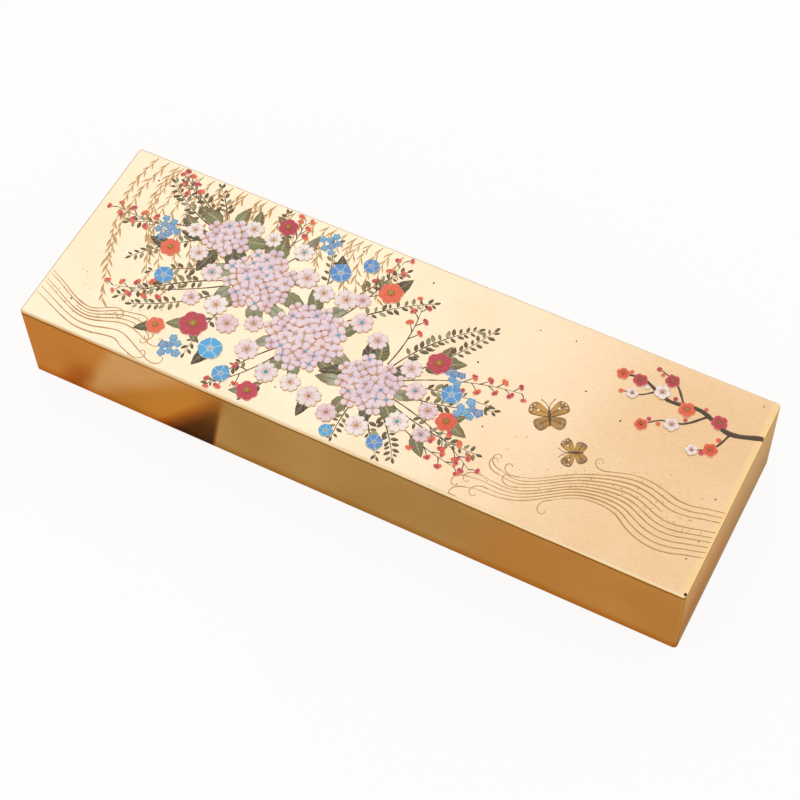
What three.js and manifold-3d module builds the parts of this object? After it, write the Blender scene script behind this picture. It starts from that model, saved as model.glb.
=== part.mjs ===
// A long, flat lacquered box with a gold-leafed lid that covers it down to the table.
// The lid lifts straight up off a black tray, which holds velvet pads, two dividers and ring rolls.
// Millimetres, +Z up. X runs along the length, the front is at -Y, and the origin is the centre of the base.
import * as THREE from "three";
import { mergeVertices } from "three/addons/utils/BufferGeometryUtils.js";
import Module from "manifold-3d";

const wasm = await Module();
wasm.setup();

// Outside of the closed box
const boxLength = 240;
const boxWidth = 78;
const boxHeight = 35;
const cornerRadius = 1.3; // upright edges of the lid
const topEdgeRadius = 1; // rim of the lid's flat top
const rimHeight = 0.5; // the lid's lower edge clears the table by this

// Lid: a skin of lacquer ground and gold leaf on five boards
const coatThickness = 0.6;
const coatBedding = 0.2; // glue line between the skin and the boards
const lidWallThickness = 3.2;
const lidTopThickness = 4.2;
const lidRebateHeight = 1.4; // step under the top board that drops between the walls
const fingerCount = 5; // fingers in each corner joint, lid and tray

// Tray: five boards that stand inside the lid
const sideClearance = 0.5; // between the lid's walls and the tray's
const seatClearance = 0.3; // between the tray's rim and the lid's top board
const trayWallThickness = 3.5;
const trayFloorThickness = 3.5;
const floorRebateDepth = 1.75; // how far the floor board is let into the walls
const trayEdgeRadius = 0.7; // eased rim, which guides the lid on
const trayCornerRadius = 1.5;

// Dividers, slid down into grooves in the long walls
const dividerThickness = 3;
const dividerHeight = 17;
const dividerSpacing = 76; // between the middles of the two dividers
const grooveDepth = 1.2;
const grooveClearance = 0.15; // all round a divider's end
const dividerEdgeRadius = 0.8;

// Velvet-wrapped card on the walls, and the pads on the floor
const softClearance = 0.3; // round every soft piece
const liningThickness = 1.4;
const liningDrop = 3.2; // from the tray's rim down to the lining's upper edge
const liningEdgeRadius = 0.4;
const padThickness = 5;
const padCrown = 1.4; // radius of the pad's rounded rim
const padCornerRadius = 2;

// Ring rolls: a row of foam rolls on one card, with the rings held between them
const ringRollCount = 7;
const ringRollHeight = 12.5;
const ringRollGap = 0.4; // the slit that a ring drops into
const ringRollEndRadius = 1.5;
const ringCardThickness = 1.5;

// How finely round forms are stepped
const arcSteps = 4; // for each half of a quarter circle
const edgeSteps = 4;
const rollEndSteps = 3;
const sharpestEdge = 0.2; // no rounded rim is sharper than this
const rimShare = 0.3; // a rounded rim takes at most this share of a thin piece
const cornerShare = 0.45; // and a round corner at most this share
const cornerOverRim = 1.3; // an upright corner is at least this much rounder than the rim
const cutReach = 1; // a cut runs on this far past the face that it opens

const goldLeaf = new THREE.MeshStandardMaterial({ color: 0xdcb26c, roughness: 0.28, metalness: 0.9 });
const blackLacquer = new THREE.MeshStandardMaterial({ color: 0x120d0b, roughness: 0.18, metalness: 0 });
const wineVelvet = new THREE.MeshStandardMaterial({ color: 0x6e1420, roughness: 0.95, metalness: 0 });

// Where the boards meet
const woodInset = coatThickness + coatBedding;
const lidWallInset = woodInset + lidWallThickness;
const lidWoodTop = boxHeight - woodInset;
const lidUnderside = lidWoodTop - lidTopThickness;
const lidWallTop = lidUnderside + lidRebateHeight;
const trayLength = boxLength - 2 * (lidWallInset + sideClearance);
const trayWidth = boxWidth - 2 * (lidWallInset + sideClearance);
const trayHeight = lidUnderside - seatClearance;
const innerLength = trayLength - 2 * trayWallThickness;
const innerWidth = trayWidth - 2 * trayWallThickness;
const liningTop = trayHeight - liningDrop;

function solidFrom(geometry) {
  const plain = new THREE.BufferGeometry();
  plain.setAttribute("position", geometry.getAttribute("position"));
  plain.setIndex(geometry.index);
  const merged = mergeVertices(plain, 1e-4);
  return new wasm.Manifold(
    new wasm.Mesh({
      numProp: 3,
      vertProperties: merged.attributes.position.array,
      triVerts: new Uint32Array(merged.index.array),
    }),
  );
}

function geometryFrom(solid) {
  const mesh = solid.getMesh();
  const geometry = new THREE.BufferGeometry();
  geometry.setAttribute("position", new THREE.BufferAttribute(mesh.vertProperties, 3));
  geometry.setIndex(new THREE.BufferAttribute(mesh.triVerts, 1));
  const faceted = geometry.toNonIndexed();
  faceted.computeVertexNormals();
  return faceted;
}

// A square-edged block between two values on each axis
function block([x0, x1], [y0, y1], [z0, z1]) {
  const geometry = new THREE.BoxGeometry(x1 - x0, y1 - y0, z1 - z0);
  geometry.translate((x0 + x1) / 2, (y0 + y1) / 2, (z0 + z1) / 2);
  return solidFrom(geometry);
}

// A rectangle centred on the origin, with round corners
function roundedRectangle(length, width, radius) {
  const x = length / 2 - radius;
  const y = width / 2 - radius;
  const shape = new THREE.Shape();
  shape.absarc(x, y, radius, 0, Math.PI / 2);
  shape.absarc(-x, y, radius, Math.PI / 2, Math.PI);
  shape.absarc(-x, -y, radius, Math.PI, 1.5 * Math.PI);
  shape.absarc(x, -y, radius, 1.5 * Math.PI, 2 * Math.PI);
  shape.closePath();
  return shape;
}

// A slab standing on z0, with round upright corners and both flat faces rounded at the edge
function roundedSlab(length, width, z0, z1, upright, edge) {
  const rim = Math.min(edge, rimShare * Math.min(length, width, z1 - z0));
  const corner = Math.min(
    Math.max(upright, cornerOverRim * rim),
    cornerShare * Math.min(length, width),
  );
  const geometry = new THREE.ExtrudeGeometry(roundedRectangle(length, width, corner), {
    depth: z1 - z0 - 2 * rim,
    curveSegments: arcSteps,
    bevelThickness: rim,
    bevelSize: rim,
    bevelOffset: -rim,
    bevelSegments: edgeSteps,
  });
  geometry.translate(0, 0, z0 + rim);
  return solidFrom(geometry);
}

// The same slab with its lower edge left square
function roundedCap(length, width, z0, z1, upright, edge) {
  const spare = 2 * edge; // the part with the lower rounding, which is cut away
  const slab = roundedSlab(length, width, z0 - spare, z1, upright, edge);
  const below = block([-length, length], [-width, width], [z0 - 2 * spare, z0]);
  return slab.subtract(below);
}

const centred = (size) => [-size / 2, size / 2];

// The outer form of the lid, taken in by an inset on every side but the open one
function lidForm(inset) {
  return roundedCap(
    boxLength - 2 * inset,
    boxWidth - 2 * inset,
    rimHeight,
    boxHeight - inset,
    Math.max(cornerRadius - inset, sharpestEdge * 2),
    Math.max(topEdgeRadius - inset, sharpestEdge),
  );
}

// The skin follows the lid's outside, and is open underneath
function goldCoat() {
  const hollow = lidForm(coatThickness);
  const throughTheMouth = hollow.translate([0, 0, -coatThickness]);
  return lidForm(0).subtract(hollow.add(throughTheMouth));
}

// One corner-jointed frame of four boards: the long walls own the even fingers and the end walls the odd ones
function fingerWalls(form, length, width, thickness, z0, z1) {
  const fingerHeight = (z1 - z0) / fingerCount;
  const fingers = (odd) => {
    let teeth = null;
    for (let i = odd; i < fingerCount; i += 2) {
      const band = [z0 + i * fingerHeight, z0 + (i + 1) * fingerHeight];
      const tooth = block(centred(length), centred(width), band);
      teeth = teeth ? teeth.add(tooth) : tooth;
    }
    return teeth;
  };
  const reach = [z0, z1];
  const xIn = length / 2 - thickness;
  const yIn = width / 2 - thickness;
  const corners = block(centred(length), centred(width), reach)
    .subtract(block(centred(2 * xIn), centred(width), reach))
    .subtract(block(centred(length), centred(2 * yIn), reach));
  const longTeeth = corners.intersect(fingers(0));
  const endTeeth = corners.intersect(fingers(1));
  const wall = (xs, ys, teeth, side) => {
    const middle = block(xs, ys, reach);
    return middle.add(teeth.intersect(side)).intersect(form);
  };
  const frontHalf = block(centred(length), [-width / 2, 0], reach);
  const backHalf = block(centred(length), [0, width / 2], reach);
  const leftHalf = block([-length / 2, 0], centred(width), reach);
  const rightHalf = block([0, length / 2], centred(width), reach);
  return {
    front: wall(centred(2 * xIn), [-width / 2, -yIn], longTeeth, frontHalf),
    back: wall(centred(2 * xIn), [yIn, width / 2], longTeeth, backHalf),
    left: wall([-length / 2, -xIn], centred(2 * yIn), endTeeth, leftHalf),
    right: wall([xIn, length / 2], centred(2 * yIn), endTeeth, rightHalf),
  };
}

function lidBoards() {
  const length = boxLength - 2 * woodInset;
  const width = boxWidth - 2 * woodInset;
  const form = lidForm(woodInset);
  const walls = fingerWalls(form, length, width, lidWallThickness, rimHeight, lidWallTop);
  const upper = block(centred(length), centred(width), [lidWallTop, lidWoodTop]).intersect(form);
  const step = block(
    centred(length - 2 * lidWallThickness),
    centred(width - 2 * lidWallThickness),
    [lidUnderside, lidWallTop],
  );
  return { top: upper.add(step), ...walls };
}

const dividerPlaces = [-dividerSpacing / 2, dividerSpacing / 2];

function dividerGrooves() {
  const width = dividerThickness + 2 * grooveClearance;
  const reach = innerWidth + 2 * grooveDepth;
  const cuts = dividerPlaces.map((x) =>
    block([x - width / 2, x + width / 2], centred(reach), [trayFloorThickness, trayHeight + cutReach]),
  );
  return cuts[0].add(cuts[1]);
}

function trayBoards() {
  const form = roundedSlab(trayLength, trayWidth, 0, trayHeight, trayCornerRadius, trayEdgeRadius);
  const walls = fingerWalls(form, trayLength, trayWidth, trayWallThickness, 0, trayHeight);
  const floorLength = innerLength + 2 * floorRebateDepth;
  const floorWidth = innerWidth + 2 * floorRebateDepth;
  const floor = block(centred(floorLength), centred(floorWidth), [0, trayFloorThickness]);
  const grooves = dividerGrooves();
  return {
    floor,
    front: walls.front.subtract(floor).subtract(grooves),
    back: walls.back.subtract(floor).subtract(grooves),
    left: walls.left.subtract(floor),
    right: walls.right.subtract(floor),
  };
}

function divider(x) {
  const reach = innerWidth + 2 * (grooveDepth - grooveClearance);
  const top = trayFloorThickness + dividerHeight;
  const board = roundedCap(dividerThickness, reach, trayFloorThickness, top, 0, dividerEdgeRadius);
  return board.translate([x, 0, 0]);
}

// The three compartments, as the clear span in X between wall or divider faces
function compartments() {
  const left = dividerPlaces[0] - dividerThickness / 2;
  const right = dividerPlaces[1] + dividerThickness / 2;
  return [
    [-innerLength / 2, left],
    [left + dividerThickness, right - dividerThickness],
    [right, innerLength / 2],
  ];
}

// A wrapped card, standing on the floor board
function lining([x0, x1], [y0, y1]) {
  const gap = softClearance;
  const length = x1 - x0 - 2 * gap;
  const width = y1 - y0 - 2 * gap;
  const card = roundedSlab(
    length,
    width,
    trayFloorThickness + gap,
    liningTop,
    liningEdgeRadius,
    liningEdgeRadius,
  );
  return card.translate([(x0 + x1) / 2, (y0 + y1) / 2, 0]);
}

const liningSlot = liningThickness + 2 * softClearance;

// The clear span of a compartment once its end wall is lined
function linedSpan([x0, x1], index) {
  return [x0 + (index === 0 ? liningSlot : 0), x1 - (index === 2 ? liningSlot : 0)];
}

function pad(span, z0, thickness, edge) {
  const width = innerWidth - 2 * liningSlot;
  const cushion = roundedCap(
    span[1] - span[0] - 2 * softClearance,
    width - 2 * softClearance,
    z0,
    z0 + thickness,
    padCornerRadius,
    edge,
  );
  return cushion.translate([(span[0] + span[1]) / 2, 0, 0]);
}

// A foam roll across the tray: flat below, round above, with softened ends
function ringRoll(x, pitch, z0) {
  const width = pitch - ringRollGap;
  const crown = width / 2;
  const end = ringRollEndRadius;
  const profile = new THREE.Shape();
  profile.moveTo(-crown, 0);
  profile.lineTo(crown, 0);
  profile.lineTo(crown, ringRollHeight - crown);
  profile.absarc(0, ringRollHeight - crown, crown, 0, Math.PI);
  profile.closePath();
  const length = innerWidth - 2 * (liningSlot + softClearance);
  const geometry = new THREE.ExtrudeGeometry(profile, {
    depth: length - 2 * end,
    curveSegments: arcSteps,
    bevelThickness: end,
    bevelSize: end,
    bevelOffset: -end,
    bevelSegments: rollEndSteps,
  });
  geometry.rotateX(Math.PI / 2);
  geometry.translate(x, length / 2 - end, z0);
  return solidFrom(geometry);
}

const object = new THREE.Group();

function place(name, solid, material) {
  const mesh = new THREE.Mesh(geometryFrom(solid), material);
  mesh.name = name;
  object.add(mesh);
}

function placeLid() {
  place("lid_gold_coat", goldCoat(), goldLeaf);
  const boards = lidBoards();
  for (const side of ["top", "front", "back", "left", "right"]) {
    place(`lid_${side}_board`, boards[side], blackLacquer);
  }
}

function placeTray() {
  const boards = trayBoards();
  for (const side of ["floor", "front", "back", "left", "right"]) {
    place(`tray_${side}_board`, boards[side], blackLacquer);
  }
  place("divider_left", divider(dividerPlaces[0]), wineVelvet);
  place("divider_right", divider(dividerPlaces[1]), wineVelvet);
}

function placeLinings() {
  const inside = innerWidth / 2;
  const names = ["left", "middle", "right"];
  compartments().forEach((span, index) => {
    const lined = linedSpan(span, index);
    place(`lining_front_${names[index]}`, lining(lined, [-inside, -inside + liningSlot]), wineVelvet);
    place(`lining_back_${names[index]}`, lining(lined, [inside - liningSlot, inside]), wineVelvet);
  });
  const end = innerLength / 2;
  place("lining_left_end", lining([-end, -end + liningSlot], centred(innerWidth)), wineVelvet);
  place("lining_right_end", lining([end - liningSlot, end], centred(innerWidth)), wineVelvet);
}

function placePadsAndRolls() {
  const spans = compartments().map(linedSpan);
  const onFloor = trayFloorThickness + softClearance;
  place("necklace_pad", pad(spans[0], onFloor, padThickness, padCrown), wineVelvet);
  place("earring_pad", pad(spans[1], onFloor, padThickness, padCrown), wineVelvet);
  place("ring_card", pad(spans[2], onFloor, ringCardThickness, liningEdgeRadius), wineVelvet);
  const [x0, x1] = spans[2];
  const pitch = (x1 - x0 - 2 * softClearance) / ringRollCount;
  const onCard = onFloor + ringCardThickness + softClearance;
  for (let i = 0; i < ringRollCount; i += 1) {
    const x = x0 + softClearance + (i + 0.5) * pitch;
    place(`ring_roll_${i + 1}`, ringRoll(x, pitch, onCard), wineVelvet);
  }
}

placeLid();
placeTray();
placeLinings();
placePadsAndRolls();

export default object;
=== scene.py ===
# A long lacquered jewelry box: a lid of gold leaf with raised flowers, over a black tray lined with velvet.
# Metres, +Z up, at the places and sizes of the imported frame
import random
from functools import partial
from math import atan2, copysign, cos, exp, hypot, pi, radians, sin, sqrt, tau

import bmesh
import bpy
from mathutils import Matrix, Vector, noise


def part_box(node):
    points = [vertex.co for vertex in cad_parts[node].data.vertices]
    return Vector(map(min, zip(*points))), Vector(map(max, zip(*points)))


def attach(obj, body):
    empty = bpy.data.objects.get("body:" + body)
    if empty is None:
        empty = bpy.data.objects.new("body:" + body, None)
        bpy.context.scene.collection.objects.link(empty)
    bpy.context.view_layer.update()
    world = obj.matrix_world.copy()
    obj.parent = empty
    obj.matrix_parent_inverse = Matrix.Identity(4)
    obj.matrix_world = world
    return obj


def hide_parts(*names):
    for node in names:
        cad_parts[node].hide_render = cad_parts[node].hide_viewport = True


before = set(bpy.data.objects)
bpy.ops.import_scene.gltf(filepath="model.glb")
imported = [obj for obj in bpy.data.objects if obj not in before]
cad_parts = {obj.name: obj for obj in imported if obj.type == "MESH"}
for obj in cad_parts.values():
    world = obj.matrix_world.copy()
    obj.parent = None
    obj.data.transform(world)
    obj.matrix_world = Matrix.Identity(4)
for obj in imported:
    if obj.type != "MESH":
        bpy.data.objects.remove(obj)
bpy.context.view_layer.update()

MM = 0.001
GOLDEN_TURN = pi * (3 - sqrt(5))

coat_low, coat_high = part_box("lid_gold_coat")
LID_TOP = coat_high.z
HALF_LENGTH = coat_high.x / MM
HALF_WIDTH = coat_high.y / MM


def new_object(name, data):
    made = bpy.data.objects.new(name, data)
    bpy.context.scene.collection.objects.link(made)
    return made


def evaluated(thing):
    return thing.evaluated_get(bpy.context.evaluated_depsgraph_get())


# Camera, at the photograph's angle

CAMERA_PLACE = Vector((187.2, -327.2, 591.8)) * MM
CAMERA_AIM = Vector((10.0, -14.1, 35.0)) * MM
CAMERA_ROLL = radians(-2.59)
FIELD_OF_VIEW = radians(21.97)


def make_camera():
    data = bpy.data.cameras.new("photo_camera")
    data.sensor_width = 36
    data.angle = FIELD_OF_VIEW
    data.clip_start = 0.01
    camera = new_object("photo_camera", data)
    look = (CAMERA_AIM - CAMERA_PLACE).to_track_quat("-Z", "Y").to_matrix()
    turned = look @ Matrix.Rotation(CAMERA_ROLL, 3, "Z")
    camera.matrix_world = Matrix.Translation(CAMERA_PLACE) @ turned.to_4x4()
    bpy.context.scene.camera = camera


# Colour and shader helpers

A, B, MIXED = 6, 7, 2  # the colour sockets of a Mix node


def linear(code):
    """An sRGB hex colour as the linear values that the shaders take."""
    channels = []
    for i in (1, 3, 5):
        value = int(code[i : i + 2], 16) / 255
        channels.append(value / 12.92 if value <= 0.04045 else ((value + 0.055) / 1.055) ** 2.4)
    return (*channels, 1.0)


def plain(value):
    return linear(value) if isinstance(value, str) else value


def add_node(tree, kind, inputs=None, out=0, stops=None, **settings):
    """Adds a node with its settings, ramp stops and inputs. Gives an output, or the node if out is None."""
    node = tree.nodes.new("ShaderNode" + kind)
    for name, value in settings.items():
        setattr(node, name, value)
    if stops:
        ramp = node.color_ramp
        while len(ramp.elements) < len(stops):
            ramp.elements.new(1)
        for element, (place, code) in zip(ramp.elements, stops):
            element.position = place
            element.color = linear(code)
    for socket, value in (inputs or {}).items():
        if isinstance(value, bpy.types.NodeSocket):
            tree.links.new(value, node.inputs[socket])
        else:
            node.inputs[socket].default_value = plain(value)
    return node if out is None else node.outputs[out]


def feed(shader, sources):
    """Links outputs to the sockets of a shader."""
    for socket, output in sources.items():
        shader.id_data.links.new(output, shader.inputs[socket])


def new_material(name, **values):
    """A material with one Principled shader, add_node for its tree, the shader and object coordinates."""
    material = bpy.data.materials.new(name)
    material.use_nodes = True
    material.node_tree.nodes.clear()
    add = partial(add_node, material.node_tree)
    shader = add("BsdfPrincipled", out=None)
    for socket, value in values.items():
        shader.inputs[socket.replace("_", " ")].default_value = plain(value)
    add("OutputMaterial", {"Surface": shader.outputs[0]}, None)
    return material, add, shader, add("TexCoord", out="Object")


# Gold leaf, laid by hand on lacquer and sealed with clear lacquer: satin on the top, with a fine crinkle and
# a few pinholes, and nearly a mirror on the walls. Light is painted into its colour: the top is a paler, lit
# copy of the leaf with a painted highlight along its right end, and the walls are a deeper, shaded copy with
# painted shade at the foot. The rounded rim has a painted reflection, darker at the left, and a painted dark
# reflection runs as a brown line under it. Real crinkles are a few tenths of a millimetre wide, too fine to
# show, so they are drawn coarser

LIT_LEAF_TOP = ("#f8e6cc", "#f3ddbf")
SHADED_LEAF_WALL = ("#cf9c60", "#c19056")
SHADED_LEAF_FOOT = "#b5671c"
END_PAINTED_HIGHLIGHT = "#fae8bd"
RIM_PAINTED_REFLECTION = ("#cfae78", "#f8dfa6")
RIM_DARK_REFLECTION = "#7f5c2a"
BARE_LACQUER = "#3a160c"
CLOUD = 45 * MM  # width of the patches where the leaf is thicker or thinner
WAVE = 8 * MM  # length of the slow waves in the clear lacquer
CRINKLE = (2.4 * MM, 0.8 * MM, 0.8 * MM)
PINHOLES = 13 * MM  # between one chance of a pinhole and the next
WORN_CORNER = Vector((119.4, -37.8, 34.8)) * MM
WORN = 0.55 * MM  # radius of the worn spot


def gold_leaf():
    material, add, shader, place = new_material(
        "gold_leaf_under_clear_lacquer", Coat_Weight=0.1, Coat_Roughness=0.08, Specular_Tint="#cbb395"
    )
    x, _, height = add("SeparateXYZ", {0: place}, None).outputs
    cloudy = add("TexNoise", {"Vector": place, "Scale": 1 / CLOUD, "Detail": 4.0})
    drawn = add("Mapping", {"Vector": place, "Scale": tuple(1 / size for size in CRINKLE)})
    crinkle = add("TexNoise", {"Vector": drawn, "Scale": 1.0, "Detail": 3.0})
    uneven = add("TexNoise", {"Vector": place, "Scale": 1 / WAVE, "Detail": 2.0})
    above = add("MapRange", {0: height, 1: LID_TOP - 0.8 * MM, 2: LID_TOP - 0.45 * MM})
    # The top, with a painted highlight in a strip along its right end
    top = add("ValToRGB", {0: cloudy}, stops=[(0.38, LIT_LEAF_TOP[0]), (0.62, LIT_LEAF_TOP[1])])
    grain = add("ValToRGB", {0: crinkle}, stops=[(0.3, "#faf8f5"), (0.7, "#ffffff")])
    top = add("Mix", {0: 1.0, A: top, B: grain}, MIXED, data_type="RGBA", blend_type="MULTIPLY")
    end_highlight = add("MapRange", {0: x, 1: 117.3 * MM, 2: 118.6 * MM, 4: 0.85})
    top = add("Mix", {0: end_highlight, A: top, B: END_PAINTED_HIGHLIGHT}, MIXED, data_type="RGBA")
    # The rounded rim, with a painted reflection: darker at the left and brighter to the right
    rounded = add("MapRange", {0: height, 1: LID_TOP - 0.3 * MM, 2: LID_TOP - 0.06 * MM, 3: 0.8, 4: 0.0})
    brighter = add("MapRange", {0: x, 1: -100 * MM, 2: 50 * MM})
    rim = add("Mix", {0: brighter, A: RIM_PAINTED_REFLECTION[0], B: RIM_PAINTED_REFLECTION[1]}, MIXED, data_type="RGBA")
    top = add("Mix", {0: rounded, A: top, B: rim}, MIXED, data_type="RGBA")
    # The walls, a deeper, shaded copy of the leaf, with painted shade that makes them darker and redder at
    # the foot
    wall = add("ValToRGB", {0: cloudy}, stops=[(0.38, SHADED_LEAF_WALL[0]), (0.62, SHADED_LEAF_WALL[1])])
    low = add("MapRange", {0: height, 1: 0.5 * MM, 2: 5.0 * MM, 3: 0.75, 4: 0.0})
    wall = add("Mix", {0: low, A: wall, B: SHADED_LEAF_FOOT}, MIXED, data_type="RGBA")
    colour = add("Mix", {0: above, A: wall, B: top}, MIXED, data_type="RGBA")
    # A painted dark reflection: a brown line under the rim, which wanders a little up and down
    line = add("Math", {0: uneven, 1: 1.2 * MM, 2: height}, operation="MULTIPLY_ADD")
    under = add("MapRange", {0: line, 1: LID_TOP - 1.35 * MM, 2: LID_TOP - 0.95 * MM})
    over = add("MapRange", {0: line, 1: LID_TOP - 0.5 * MM, 2: LID_TOP - 0.2 * MM, 3: 0.85, 4: 0.0})
    dark_reflection = add("Math", {0: under, 1: over}, operation="MULTIPLY")
    colour = add("Mix", {0: dark_reflection, A: colour, B: RIM_DARK_REFLECTION}, MIXED, data_type="RGBA")
    # Pinholes where the leaf missed the lacquer, in one cell of four, and one worn corner
    cells = add("TexVoronoi", {"Vector": place, "Scale": 1 / PINHOLES}, None, voronoi_dimensions="2D")
    picked = add("SeparateColor", {0: cells.outputs["Color"]})
    chosen = add("Math", {0: picked, 1: 0.75}, operation="GREATER_THAN")
    ragged = add("Math", {0: uneven, 1: 0.045}, operation="MULTIPLY")
    spot = add("Math", {0: cells.outputs["Distance"], 1: ragged}, operation="LESS_THAN")
    spot = add("Math", {0: spot, 1: chosen}, operation="MULTIPLY")
    spot = add("Math", {0: spot, 1: above}, operation="MULTIPLY")
    away = add("VectorMath", {0: place, 1: WORN_CORNER}, "Value", operation="DISTANCE")
    chip = add("Math", {0: away, 1: WORN}, operation="LESS_THAN")
    bare = add("Math", {0: spot, 1: chip}, operation="MAXIMUM")
    colour = add("Mix", {0: bare, A: colour, B: BARE_LACQUER}, MIXED, data_type="RGBA")
    metal = add("Math", {0: 0.92, 1: bare}, operation="SUBTRACT", use_clamp=True)
    satin = add("MapRange", {0: crinkle, 3: 0.24, 4: 0.3})
    rough = add("Mix", {0: above, 2: 0.13, 3: satin})
    relief = add("Math", {0: crinkle, 1: above}, operation="MULTIPLY")
    waves = add("Bump", {"Height": uneven, "Strength": 0.3, "Distance": 0.05 * MM})
    bump = add("Bump", {"Height": relief, "Strength": 0.1, "Distance": 0.02 * MM, "Normal": waves})
    feed(shader, {"Base Color": colour, "Metallic": metal, "Roughness": rough, "Normal": bump})
    return material


# Raised lacquer, painted with a brush over a built-up ground: softly glossy, with faint brush marks, and a
# slightly different tone on each motif

def brushed_lacquer(name, body, shade, mark, detail, **values):
    """The material, its helpers and its first colour. mark is the width of a brush mark."""
    material, add, shader, place = new_material(name, **values)
    tone = add("Attribute", out="Fac", attribute_name="tone")
    brushed = add("TexNoise", {"Vector": place, "Scale": 1 / mark, "Detail": detail})
    varied = add("Math", {0: brushed, 1: 0.5, 2: tone}, operation="MULTIPLY_ADD")
    colour = add("ValToRGB", {0: varied}, stops=[(0.2, shade), (1.0, body)])
    bump = add("Bump", {"Height": brushed, "Strength": 0.2, "Distance": 0.05 * MM})
    feed(shader, {"Normal": bump})
    return material, add, shader, place, colour


# On a petal it has a fine gold or pale edge, and fine lines painted from the petal's heart
def raised_lacquer(name, body, shade, edge, heart=None, roughness=0.34, metallic=0.0):
    values = {"Roughness": roughness, "Metallic": metallic, "Coat_Weight": 0.4, "Coat_Roughness": 0.14}
    material, add, shader, _, colour = brushed_lacquer(name, body, shade, 1.3 * MM, 2.0, **values)
    if heart:
        near, across = (add("Attribute", out="Fac", attribute_name=n) for n in ("heart", "across"))
        comb = add("Math", {0: across, 1: 9.0}, operation="MULTIPLY")
        wave = add("Math", {0: comb}, operation="COSINE")
        lines = add("MapRange", {0: wave, 1: 0.55, 2: 0.95, 4: 0.6})
        reach = add("Math", {0: lines, 1: 0.5, 2: near}, operation="MULTIPLY_ADD")
        drawn = add("Math", {0: reach, 1: near}, operation="MULTIPLY", use_clamp=True)
        colour = add("Mix", {0: drawn, A: colour, B: heart}, MIXED, data_type="RGBA")
    rim = add("Attribute", out="Fac", attribute_name="rim")
    line = add("MapRange", {0: rim, 1: 0.5, 2: 0.95})
    colour = add("Mix", {0: line, A: colour, B: edge}, MIXED, data_type="RGBA")
    feed(shader, {"Base Color": colour})
    return material


# On a leaf or wing it has painted ribs, a midrib and an edge, and a brown tinge in patches towards the tip
def leaf_lacquer(name, ribs_per_leaf, body, shade, vein, edge, tinge):
    values = {"Roughness": 0.36, "Coat_Weight": 0.35, "Coat_Roughness": 0.16}
    material, add, shader, place, colour = brushed_lacquer(name, body, shade, 2.0 * MM, 3.0, **values)
    along, across, rim = (add("Attribute", out="Fac", attribute_name=n) for n in ("along", "across", "rim"))
    patch = add("TexNoise", {"Vector": place, "Scale": 1 / (4.5 * MM), "Detail": 3.0})
    turned = add("Math", {0: along, 1: 0.35, 2: patch}, operation="MULTIPLY_ADD")
    brown = add("MapRange", {0: turned, 1: 0.62, 2: 0.85, 4: 0.8})
    colour = add("Mix", {0: brown, A: colour, B: tinge}, MIXED, data_type="RGBA")
    side = add("Math", {0: across}, operation="ABSOLUTE")
    slant = add("Math", {0: side, 1: -1.1}, operation="MULTIPLY")
    comb = add("Math", {0: along, 1: ribs_per_leaf, 2: slant}, operation="MULTIPLY_ADD")
    saw = add("Math", {0: comb}, operation="FRACT")
    ribs = add("MapRange", {0: saw, 1: 0.06, 2: 0.16, 3: 0.6, 4: 0.0})
    midrib = add("MapRange", {0: side, 1: 0.05, 2: 0.11, 3: 0.9, 4: 0.0})
    veins = add("Math", {0: ribs, 1: midrib}, operation="MAXIMUM")
    colour = add("Mix", {0: veins, A: colour, B: vein}, MIXED, data_type="RGBA")
    line = add("MapRange", {0: rim, 1: 0.65, 2: 0.98})
    colour = add("Mix", {0: line, A: colour, B: edge}, MIXED, data_type="RGBA")
    feed(shader, {"Base Color": colour})
    return material


# Black lacquer, brushed on wood in many coats and polished: near mirror-smooth, with a faint brown depth
def black_lacquer():
    material, add, shader, place = new_material("black_lacquer_on_wood", Specular_IOR_Level=0.4)
    slow = add("TexNoise", {"Vector": place, "Scale": 1 / (25 * MM), "Detail": 3.0})
    tone = add("ValToRGB", {0: slow}, stops=[(0.3, "#0b0706"), (0.7, "#1b100b")])
    rough = add("MapRange", {0: slow, 3: 0.05, 4: 0.13})
    bump = add("Bump", {"Height": slow, "Strength": 0.05, "Distance": 0.2 * MM})
    feed(shader, {"Base Color": tone, "Roughness": rough, "Normal": bump})
    return material


# Silk velvet, woven with a cut pile and dyed wine red: dark when seen square on, lighter towards its edges,
# with brushed patches in the nap. The tufts are coarser than real ones, which are too fine to show
def wine_velvet():
    sheen = {"Sheen_Weight": 1.0, "Sheen_Roughness": 0.3, "Sheen_Tint": "#cf6672"}
    material, add, shader, place = new_material("wine_red_silk_velvet", Roughness=0.9, **sheen)
    nap = add("TexNoise", {"Vector": place, "Scale": 1 / (24 * MM), "Detail": 2.0, "Distortion": 0.4})
    pile = add("TexNoise", {"Vector": place, "Scale": 1 / (0.35 * MM), "Detail": 3.0})
    patch = add("ValToRGB", {0: nap}, stops=[(0.33, "#560a17"), (0.5, "#6c1021"), (0.68, "#84192d")])
    speck = add("ValToRGB", {0: pile}, stops=[(0.3, "#b4b4b4"), (0.7, "#ffffff")])
    colour = add("Mix", {0: 1.0, A: patch, B: speck}, MIXED, data_type="RGBA", blend_type="MULTIPLY")
    bump = add("Bump", {"Height": pile, "Strength": 0.5, "Distance": 0.15 * MM})
    feed(shader, {"Base Color": colour, "Normal": bump})
    return material


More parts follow.
